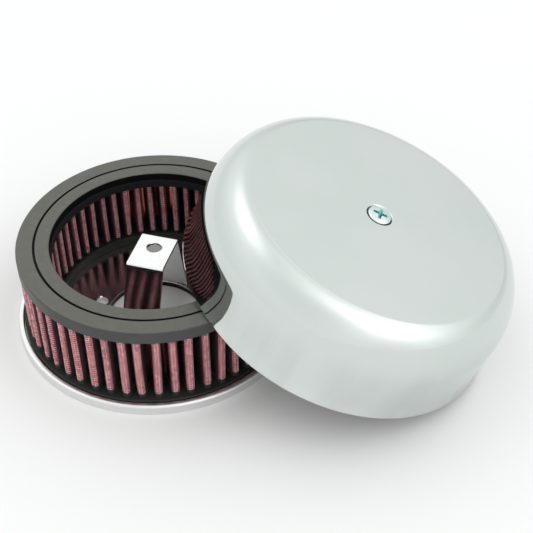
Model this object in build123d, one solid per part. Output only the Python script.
from build123d import *
import os
import math

# Round motorcycle air filter assembly: a machined backing plate with a strap
# bracket, a pleated cotton element with moulded end caps, and a deep-drawn
# cover held by one centre screw. The cover is off and leans on the element,
# its open rim resting on the element's upper edge and on the bench.
#
# Frame: millimetres, +Z up, origin at the centre of the inlet bore on the
# backing plate's back face (towards the carburettor), which is also the bench
# level. The shapes are built about the main axis, shared by the plate's rim,
# the element and the strap's tapped hole, and are moved as they are written.

# ---------------------------------------------------------------- dimensions
FIT_GAP = 0.01            # gap between faces that touch
CUT_OVER = 0.1            # how far a bevel cutter runs past its face
MOUTH_DEPTH = 0.5         # depth of the bevel round a hole

# backing plate
PLATE_R = 80.2            # outer radius at the back face
PLATE_T = 3.2             # floor thickness
LIP_TOP_Z = 6.0           # top of the raised lip
LIP_TOP_R = 78.5          # outer radius at the top of the lip
LIP_INNER_R = 77.0
BORE_R = 27.0             # inlet bore
BORE_OFFSET = 8.0         # bore centre from the main axis, towards the front foot
BOLT_COUNT = 3
BOLT_PCD = 66.2           # carburettor bolt circle's diameter, centred on the bore
BOLT_HOLE_R = 3.4
BOLT_ANGLE = 153.5        # first bolt hole, degrees from +X
CHAMFER = 0.5             # bevel width on the bore and the bolt holes

# strap bracket; places along the strap grow towards the back foot
STRAP_ANGLE = 67.0        # direction of the strap's length, degrees from +X
STRAP_W = 21.0
STRAP_T = 1.5
STRAP_TOP_Z = 47.0
STRAP_TOP_BACK = 10.2     # ends of the flat top along the strap
STRAP_TOP_FRONT = -16.0
BEND_OUT = 1.9            # outside bend radius
BEND_IN = 0.4             # inside bend radius
FOOT_BACK = (20.6, 33.0)  # heel and toe of the back foot along the strap
FOOT_FRONT = (-33.8, -46.2)
FOOT_TOP_Z = PLATE_T + STRAP_T
THREAD_R = 3.97           # tapped hole for the cover screw, at its major size
THREAD_MOUTH_R = 4.5

# bracket rivets
RIVET_R = 2.0             # hole radius
RIVET_GAP = 0.02          # shank to hole, and tail to back face
RIVET_HEAD_R = 3.4
RIVET_HEAD_H = 1.6
RIVET_SIDE = 6.0          # each side of the strap's middle
RIVET_TOE_SHIFT = 0.9     # from the foot's middle towards its toe
SINK_W = 1.3              # width and height of the tail's countersink, with overrun

# element end caps
CAP_R = 74.6
CAP_INNER_R = 56.6
CAP_TOP_Z = 55.0
CAP_SIDE_Z = 47.6         # lower edge of the upper cap's side
CAP_LIP_Z = 45.2          # lower edge of the upper cap's inner lip
CAP_LIP_T = 1.6
CAP_STEP_Z = 50.2         # the inner lip stands proud below this height
CAP_STEP = 0.5
GROOVE_R = 64.9           # middle of the groove in the upper face
GROOVE_W = 1.3
GROOVE_D = 1.4
GROOVE_DRAFT = 0.15       # each groove wall leans in by this much
FOOTCAP_R = 76.4
FOOTCAP_Z0 = PLATE_T + 0.05
FOOTCAP_Z1 = 6.3
FOOTCAP_LIP_Z = 8.6

# pleated pack
PLEATS = 52
HALF_PITCH = math.pi / PLEATS  # radians from an outer fold to the next inner fold
PLEAT_RO = 72.2           # radius of the outer fold centres
PLEAT_RI = 60.6           # radius of the inner fold centres
FOLD_RO = 1.60            # outer fold radius of the media's middle
FOLD_RI = 1.25            # inner fold radius of the media's middle
PLIES = 4
PLY_T = 0.18              # one ply of cotton gauze
PLY_GAP = 0.02
GAUZE_HALF_T = (PLIES * PLY_T + (PLIES - 1) * PLY_GAP) / 2
SCREEN_T = 0.25
SCREEN_GAP = 0.03
SCREEN_NEAR = GAUZE_HALF_T + SCREEN_GAP  # screen faces, from the media's middle
SCREEN_FAR = SCREEN_NEAR + SCREEN_T
SEAM_PLEAT = 3            # the pleat that carries the crimped seam clip
CLIP_GAP = 0.03
CLIP_T = 0.35
CLIP_REACH = 0.55         # share of the pleat wall that the clip covers
CLIP_END_GAP = 0.6        # clip to each end cap

# cover; heights are above its rim plane
COVER_RIM_R = 89.5
COVER_WALL_R = 88.5
COVER_H = 54.8
COVER_T = 1.2
FLARE_H = 13.0            # the wall is straight from here to the shoulder
SHOULDER_H = 27.0         # the wall turns into the shoulder here
FLAT_R = 72.4             # radius of the flat top, which ends at a crease
CREASE = 2.0              # how far inside the crease the shoulder would run level
COVER_HOLE_R = 3.93
DIMPLE_D = 1.3            # depth of the pressed dimple round the screw
DIMPLE_R0 = 6.9           # radius of the dimple's floor
DIMPLE_R1 = 7.9           # radius at the cover's top
COVER_TILT = 21.08        # degrees from upright
COVER_AZ = -15.33         # direction in which the cover's top leans, degrees from +X
COVER_C = (98.30, -26.96, 32.25)  # centre of the rim, from the main axis

# cover screw, in the cover's own frame
SCREW_R = 3.85
SCREW_HEAD_R = 6.4
SCREW_HEAD_H = 1.8
SCREW_LEN = 16.0          # below the head
SCREW_TIP_BEVEL = 0.9
SLOT_TOP = (8.4, 1.9)     # cross slot's length and width above the head
SLOT_FLOOR = (3.4, 1.0)   # and at its floor
SLOT_OVER = 0.2           # slot cutter's height above the head
SLOT_CUT_H = 2.4
WASHER_R = 6.0
WASHER_T = 0.5
WASHER_GAP = 0.05         # washer to screw
RETAINER_R = 7.0
RETAINER_T = 1.2
RETAINER_TOP = 45.8
RETAINER_GAP = 0.02       # retainer to screw
RETAINER_BEVEL = 0.2
SEAT_Z = COVER_H - DIMPLE_D  # floor of the dimple
HEAD_Z = SEAT_Z + WASHER_T + 2 * FIT_GAP  # underside of the screw head


# ------------------------------------------------------------------- helpers
def disc(r, z0, z1, x=0.0, y=0.0):
    return Pos(x, y, (z0 + z1) / 2) * Cylinder(r, z1 - z0)


def cone(r0, r1, z0, z1, x=0.0, y=0.0):
    return Pos(x, y, (z0 + z1) / 2) * Cone(r0, r1, z1 - z0)


def mouth(hole_r, mouth_r, top_z, x=0.0, y=0.0):
    """Cutter for the bevel round the upper end of a hole."""
    return cone(hole_r, mouth_r + CUT_OVER, top_z - MOUTH_DEPTH, top_z + CUT_OVER, x, y)


def lathe(points):
    """Solid of revolution about Z from a closed list of (r, z) points."""
    wire = Wire.make_polygon([(r, 0, z) for r, z in points], close=True)
    return revolve(make_face(wire), Axis.Z, 360)


strap_turn = math.radians(STRAP_ANGLE)
ALONG = (math.cos(strap_turn), math.sin(strap_turn))    # towards the back foot
ACROSS = (math.sin(strap_turn), -math.cos(strap_turn))


def strap_xy(along, across):
    return tuple(a * along + b * across for a, b in zip(ALONG, ACROSS))


bore_x, bore_y = strap_xy(-BORE_OFFSET, 0)
rivet_along = (sum(FOOT_BACK) / 2 + RIVET_TOE_SHIFT, sum(FOOT_FRONT) / 2 - RIVET_TOE_SHIFT)
rivet_spots = [strap_xy(along, across)
               for along in rivet_along for across in (-RIVET_SIDE, RIVET_SIDE)]


# ------------------------------------------------------------- backing plate
def make_plate():
    plate = lathe([
        # back face and rounded rim
        (0, 0), (PLATE_R - 0.5, 0), (PLATE_R - 0.13, 0.15), (PLATE_R, 0.5),
        (PLATE_R, 3.4), (PLATE_R - 0.12, 4.3), (PLATE_R - 0.45, 5.1), (PLATE_R - 1.0, 5.7),
        # raised lip, then the floor
        (LIP_TOP_R, LIP_TOP_Z), (LIP_INNER_R + 0.6, LIP_TOP_Z),
        (LIP_INNER_R + 0.15, LIP_TOP_Z - 0.2), (LIP_INNER_R, LIP_TOP_Z - 0.6),
        (LIP_INNER_R, PLATE_T), (0, PLATE_T)])
    holes = [(BORE_R, bore_x, bore_y)]
    for k in range(BOLT_COUNT):
        angle = math.radians(BOLT_ANGLE + 360 / BOLT_COUNT * k)
        holes.append((BOLT_HOLE_R, bore_x + BOLT_PCD / 2 * math.cos(angle),
                      bore_y + BOLT_PCD / 2 * math.sin(angle)))
    for r, x, y in holes:
        plate -= disc(r, -1, PLATE_T + 1, x, y)
        plate -= mouth(r, r + CHAMFER, PLATE_T, x, y)
    for x, y in rivet_spots:
        plate -= disc(RIVET_R, -1, PLATE_T + 1, x, y)
        plate -= cone(RIVET_R + SINK_W, RIVET_R, -CUT_OVER, SINK_W - CUT_OVER, x, y)
    return plate


# ------------------------------------------------------------- strap bracket
def offset_line(points, distance):
    """The polyline moved to its right by distance, with its corners mitred."""
    sides = []
    for (x0, z0), (x1, z1) in zip(points, points[1:]):
        length = math.hypot(x1 - x0, z1 - z0)
        dx, dz = (x1 - x0) / length, (z1 - z0) / length
        sides.append((x0 + dz * distance, z0 - dx * distance, dx, dz))
    moved = [sides[0][:2]]
    for (ax, az, adx, adz), (bx, bz, bdx, bdz) in zip(sides, sides[1:]):
        reach = ((bx - ax) * bdz - (bz - az) * bdx) / (adx * bdz - adz * bdx)
        moved.append((ax + adx * reach, az + adz * reach))
    moved.append((points[-1][0] + dz * distance, points[-1][1] - dx * distance))
    return moved


def bend_edges(shape, corners):
    """Edges across the strap's full width at the given (along, z) corners."""
    picked = []
    for edge in shape.edges():
        centre = edge.center()
        along = centre.X * ALONG[0] + centre.Y * ALONG[1]
        span = (edge @ 1) - (edge @ 0)
        if abs(span.Z) > 0.01 or abs(span.length - STRAP_W) > 0.05:
            continue
        for corner in corners:
            if abs(along - corner[0]) < 0.05 and abs(centre.Z - corner[1]) < 0.05:
                picked.append(edge)
    return picked


def make_bracket():
    # upper side of the strap as (along, z), from the front toe to the back toe
    upper = [(FOOT_FRONT[1], FOOT_TOP_Z), (FOOT_FRONT[0], FOOT_TOP_Z),
             (STRAP_TOP_FRONT, STRAP_TOP_Z), (STRAP_TOP_BACK, STRAP_TOP_Z),
             (FOOT_BACK[0], FOOT_TOP_Z), (FOOT_BACK[1], FOOT_TOP_Z)]
    lower = offset_line(upper, STRAP_T)
    side_plane = Plane(origin=(0, 0, 0), x_dir=(*ALONG, 0), z_dir=(*ACROSS, 0))
    outline = Wire.make_polygon([(x, z, 0) for x, z in upper + lower[::-1]], close=True)
    bracket = extrude(side_plane * make_face(outline), STRAP_W / 2, both=True)

    outside = [upper[2], upper[3], lower[1], lower[4]]
    inside = [lower[2], lower[3], upper[1], upper[4]]
    bracket = fillet(bend_edges(bracket, outside), BEND_OUT)
    bracket = fillet(bend_edges(bracket, inside), BEND_IN)
    bracket -= disc(THREAD_R, STRAP_TOP_Z - 4, STRAP_TOP_Z + 1)
    bracket -= mouth(THREAD_R, THREAD_MOUTH_R, STRAP_TOP_Z)
    for x, y in rivet_spots:
        bracket -= disc(RIVET_R, PLATE_T - 0.5, FOOT_TOP_Z + 0.5, x, y)
    return bracket


def make_rivets():
    """Domed heads on the feet, tails closed flush in the back face."""
    z = FOOT_TOP_Z + FIT_GAP
    shank_r = RIVET_R - RIVET_GAP
    rivet = lathe([
        (0, RIVET_GAP), (RIVET_R + 1.05, RIVET_GAP), (shank_r, 1.07), (shank_r, z),
        (RIVET_HEAD_R, z), (RIVET_HEAD_R - 0.15, z + 0.55), (RIVET_HEAD_R - 0.7, z + 1.05),
        (RIVET_HEAD_R - 1.6, z + 1.42), (0, z + RIVET_HEAD_H)])
    return [Pos(x, y, 0) * rivet for x, y in rivet_spots]


# ------------------------------------------------------------------ end caps
def make_top_cap():
    step_r = CAP_INNER_R - CAP_STEP
    lip_r = CAP_INNER_R + CAP_LIP_T
    groove_in = GROOVE_R - GROOVE_W / 2
    groove_out = GROOVE_R + GROOVE_W / 2
    return lathe([
        # inner side, upwards
        (step_r, CAP_LIP_Z), (step_r, CAP_STEP_Z - 0.5), (CAP_INNER_R, CAP_STEP_Z),
        (CAP_INNER_R, CAP_TOP_Z - 0.8), (CAP_INNER_R + 0.25, CAP_TOP_Z - 0.25),
        # upper face with its groove
        (CAP_INNER_R + 0.8, CAP_TOP_Z), (groove_in, CAP_TOP_Z),
        (groove_in + GROOVE_DRAFT, CAP_TOP_Z - GROOVE_D),
        (groove_out - GROOVE_DRAFT, CAP_TOP_Z - GROOVE_D), (groove_out, CAP_TOP_Z),
        # outer side, downwards
        (CAP_R - 0.8, CAP_TOP_Z), (CAP_R - 0.23, CAP_TOP_Z - 0.23), (CAP_R, CAP_TOP_Z - 0.8),
        (CAP_R, CAP_SIDE_Z + 0.4), (CAP_R - 0.4, CAP_SIDE_Z),
        # underside and inner lip
        (lip_r, CAP_SIDE_Z), (lip_r, CAP_LIP_Z + 0.4), (lip_r - 0.4, CAP_LIP_Z)])


def make_bottom_cap():
    lip_r = CAP_INNER_R + CAP_LIP_T
    return lathe([
        (CAP_INNER_R, FOOTCAP_Z0), (FOOTCAP_R - 0.4, FOOTCAP_Z0), (FOOTCAP_R, FOOTCAP_Z0 + 0.4),
        (FOOTCAP_R, FOOTCAP_Z1 - 0.8), (FOOTCAP_R - 0.25, FOOTCAP_Z1 - 0.25),
        (FOOTCAP_R - 0.8, FOOTCAP_Z1), (lip_r, FOOTCAP_Z1), (lip_r, FOOTCAP_LIP_Z - 0.4),
        (lip_r - 0.4, FOOTCAP_LIP_Z), (CAP_INNER_R, FOOTCAP_LIP_Z)])


# ------------------------------------------------------------- pleated pack
def wall_ends(shift):
    """Ends of the straight wall of a sheet lying 'shift' outside the media's
    middle: at the outer fold (angle 0) and at the inner fold (HALF_PITCH)."""
    outer_r, inner_r = FOLD_RO + shift, FOLD_RI - shift
    inner_x = PLEAT_RI * math.cos(HALF_PITCH)
    inner_y = PLEAT_RI * math.sin(HALF_PITCH)
    dx, dy = inner_x - PLEAT_RO, inner_y
    # the wall is the tangent that crosses between the two fold circles
    normal = math.atan2(dy, dx) - math.acos((outer_r + inner_r) / math.hypot(dx, dy))
    nx, ny = math.cos(normal), math.sin(normal)
    return ((PLEAT_RO + outer_r * nx, outer_r * ny),
            (inner_x - inner_r * nx, inner_y - inner_r * ny))


def flip(point):
    return (point[0], -point[1])


def turned(point, angle):
    """The point turned about Z; the first pleat lies half a pitch from +X."""
    c, s = math.cos(angle + HALF_PITCH), math.sin(angle + HALF_PITCH)
    return (point[0] * c - point[1] * s, point[0] * s + point[1] * c, 0)


def outer_fold(start, end, shift, angle):
    crest = turned((PLEAT_RO + FOLD_RO + shift, 0), angle)
    return ThreePointArc(turned(start, angle), crest, turned(end, angle))


def pleat_face(shift):
    """Face bounded by the whole pleated loop at one offset."""
    outer_end, inner_end = wall_ends(shift)
    valley = (PLEAT_RI - FOLD_RI + shift, 0)
    edges = []
    for k in range(PLEATS):
        here = 2 * HALF_PITCH * k
        following = here + 2 * HALF_PITCH
        fold_end = turned(inner_end, here)
        next_start = turned(flip(inner_end), following)
        edges.append(outer_fold(flip(outer_end), outer_end, shift, here))
        edges.append(Line(turned(outer_end, here), fold_end))
        edges.append(ThreePointArc(fold_end, turned(valley, here + HALF_PITCH), next_start))
        edges.append(Line(next_start, turned(flip(outer_end), following)))
    return make_face(Wire(edges))


def make_sheet(low, high):
    """Pleated sheet between two offsets, filling the height between the caps."""
    height = CAP_SIDE_Z - FOOTCAP_Z1
    body = extrude(pleat_face(high), height) - extrude(pleat_face(low), height)
    return Pos(0, 0, FOOTCAP_Z1) * body


def make_seam_clip():
    """Crimped clip joining the pack's two ends, folded over one outer fold."""
    angle = 2 * HALF_PITCH * SEAM_PLEAT
    low = SCREEN_FAR + CLIP_GAP
    high = low + CLIP_T

    def clip_side(shift):
        start, wall_end = wall_ends(shift)
        end = tuple(s + (w - s) * CLIP_REACH for s, w in zip(start, wall_end))
        return start, end

    def side_line(start, end):
        return Line(turned(start, angle), turned(end, angle))

    high_fold, high_end = clip_side(high)
    low_fold, low_end = clip_side(low)
    outline = Wire([
        side_line(flip(high_end), flip(high_fold)),
        outer_fold(flip(high_fold), high_fold, high, angle),
        side_line(high_fold, high_end),
        side_line(high_end, low_end),
        side_line(low_end, low_fold),
        outer_fold(low_fold, flip(low_fold), low, angle),
        side_line(flip(low_fold), flip(low_end)),
        side_line(flip(low_end), flip(high_end))])
    height = CAP_SIDE_Z - FOOTCAP_Z1 - 2 * CLIP_END_GAP
    return Pos(0, 0, FOOTCAP_Z1 + CLIP_END_GAP) * extrude(make_face(outline), height)


# --------------------------------------------------------------- cover shell
def shoulder_curves():
    """Outer and inner splines of the elliptical shoulder, from the wall to the
    crease, and the radius at which the inner one ends."""
    level_r = FLAT_R - CREASE
    semi_r = COVER_WALL_R - level_r
    semi_z = (COVER_H - SHOULDER_H) / math.sqrt(1 - (CREASE / semi_r) ** 2)
    crease_turn = math.acos(CREASE / semi_r)
    outer, inner = [], []
    for i in range(11):
        c, s = math.cos(crease_turn * i / 10), math.sin(crease_turn * i / 10)
        r, z = level_r + semi_r * c, SHOULDER_H + semi_z * s
        size = math.hypot(c / semi_r, s / semi_z)
        nr, nz = c / semi_r / size, s / semi_z / size
        outer.append((r, 0, z))
        inner.append((r - COVER_T * nr, 0, z - COVER_T * nz))
    # nr, nz is now the normal at the crease; inside, the offset faces are mitred
    flat_z = COVER_H - COVER_T
    inner_r = inner[-1][0] + (inner[-1][2] - flat_z) * nz / nr
    inner[-1] = (inner_r, 0, flat_z)
    tangents = [(0, 0, 1), (-nz, 0, nr)]
    return Spline(*outer, tangents=tangents), Spline(*inner, tangents=tangents), inner_r


def make_cover():
    outer_shoulder, inner_shoulder, inner_flat_r = shoulder_curves()
    # (r, z) of the flared foot of the wall, on the outside
    flare = [(COVER_RIM_R, 0.0), (COVER_RIM_R - 0.08, 0.9), (COVER_WALL_R + 0.45, 3.4),
             (COVER_WALL_R + 0.12, 7.5), (COVER_WALL_R, FLARE_H)]
    outer_flare = Spline(*[(r, 0, z) for r, z in flare])
    inner_flare = Spline(*[(r - COVER_T, 0, z) for r, z in flare])
    # the dimple's slope keeps the wall's thickness
    slope = math.hypot(DIMPLE_R1 - DIMPLE_R0, DIMPLE_D)
    mitre = COVER_T * (1 - (DIMPLE_R1 - DIMPLE_R0) / slope) / (DIMPLE_D / slope)
    # (r, z) of the top, in along the outside and back along the inside
    top = [(FLAT_R, COVER_H), (DIMPLE_R1, COVER_H), (DIMPLE_R0, SEAT_Z), (0, SEAT_Z),
           (0, SEAT_Z - COVER_T), (DIMPLE_R0 + mitre, SEAT_Z - COVER_T),
           (DIMPLE_R1 + mitre, COVER_H - COVER_T), (inner_flat_r, COVER_H - COVER_T)]
    inner_wall_r = COVER_WALL_R - COVER_T
    outline = Wire([
        outer_flare,
        Line((COVER_WALL_R, 0, FLARE_H), (COVER_WALL_R, 0, SHOULDER_H)),
        outer_shoulder,
        *[Line((r0, 0, z0), (r1, 0, z1)) for (r0, z0), (r1, z1) in zip(top, top[1:])],
        inner_shoulder,
        Line((inner_wall_r, 0, SHOULDER_H), (inner_wall_r, 0, FLARE_H)),
        inner_flare,
        Line((COVER_RIM_R - COVER_T, 0, 0), (COVER_RIM_R, 0, 0))])
    shell = revolve(make_face(outline), Axis.Z, 360)
    return shell - disc(COVER_HOLE_R, COVER_H - 5, COVER_H + 2)


# --------------------------------------------------------------- cover screw
def make_screw():
    z = HEAD_Z
    tip_z = z - SCREW_LEN
    screw = lathe([
        (0, tip_z), (SCREW_R - SCREW_TIP_BEVEL, tip_z), (SCREW_R, tip_z + SCREW_TIP_BEVEL),
        (SCREW_R, z), (SCREW_HEAD_R - 0.15, z), (SCREW_HEAD_R, z + 0.15),
        (SCREW_HEAD_R, z + 0.65), (SCREW_HEAD_R - 0.25, z + 1.05), (SCREW_HEAD_R - 1.0, z + 1.4),
        (SCREW_HEAD_R - 2.4, z + 1.65), (SCREW_HEAD_R - 4.2, z + SCREW_HEAD_H - 0.03),
        (0, z + SCREW_HEAD_H)])
    slot_z = z + SCREW_HEAD_H + SLOT_OVER
    for angle in (0, 90):
        slot = loft([Plane(origin=(0, 0, slot_z)) * Rectangle(*SLOT_TOP),
                     Plane(origin=(0, 0, slot_z - SLOT_CUT_H)) * Rectangle(*SLOT_FLOOR)])
        screw -= Rot(0, 0, angle) * slot
    return screw


def make_washer():
    z0 = SEAT_Z + FIT_GAP
    z1 = z0 + WASHER_T
    return disc(WASHER_R, z0, z1) - disc(SCREW_R + WASHER_GAP, z0 - 1, z1 + 1)


def make_retainer():
    hole_r = SCREW_R + RETAINER_GAP
    z0 = RETAINER_TOP - RETAINER_T
    return lathe([
        (hole_r, z0), (RETAINER_R - RETAINER_BEVEL, z0), (RETAINER_R, z0 + RETAINER_BEVEL),
        (RETAINER_R, RETAINER_TOP - RETAINER_BEVEL),
        (RETAINER_R - RETAINER_BEVEL, RETAINER_TOP), (hole_r, RETAINER_TOP)])


# ------------------------------------------------------- placing and writing
lean = Pos(*COVER_C) * Rot(0, 0, COVER_AZ) * Rot(0, COVER_TILT, 0)
to_bore = Pos(-bore_x, -bore_y, 0)

nodes = {
    "backing_plate": make_plate(),
    "strap_bracket": make_bracket(),
    "bracket_rivets": make_rivets(),
    "top_end_cap": make_top_cap(),
    "bottom_end_cap": make_bottom_cap(),
    "cotton_gauze": make_sheet(-GAUZE_HALF_T, GAUZE_HALF_T),
    "outer_wire_screen": make_sheet(SCREEN_NEAR, SCREEN_FAR),
    "inner_wire_screen": make_sheet(-SCREEN_FAR, -SCREEN_NEAR),
    "seam_clip": make_seam_clip(),
    "cover_shell": lean * make_cover(),
    "screw_washer": lean * make_washer(),
    "cover_screw": lean * make_screw(),
    "screw_retainer": lean * make_retainer(),
}

os.makedirs("parts", exist_ok=True)
for name, shape in nodes.items():
    if isinstance(shape, list):
        moved = Compound([(to_bore * item).solid() for item in shape])
    else:
        moved = to_bore * shape
    export_step(moved, os.path.join("parts", name + ".step"))
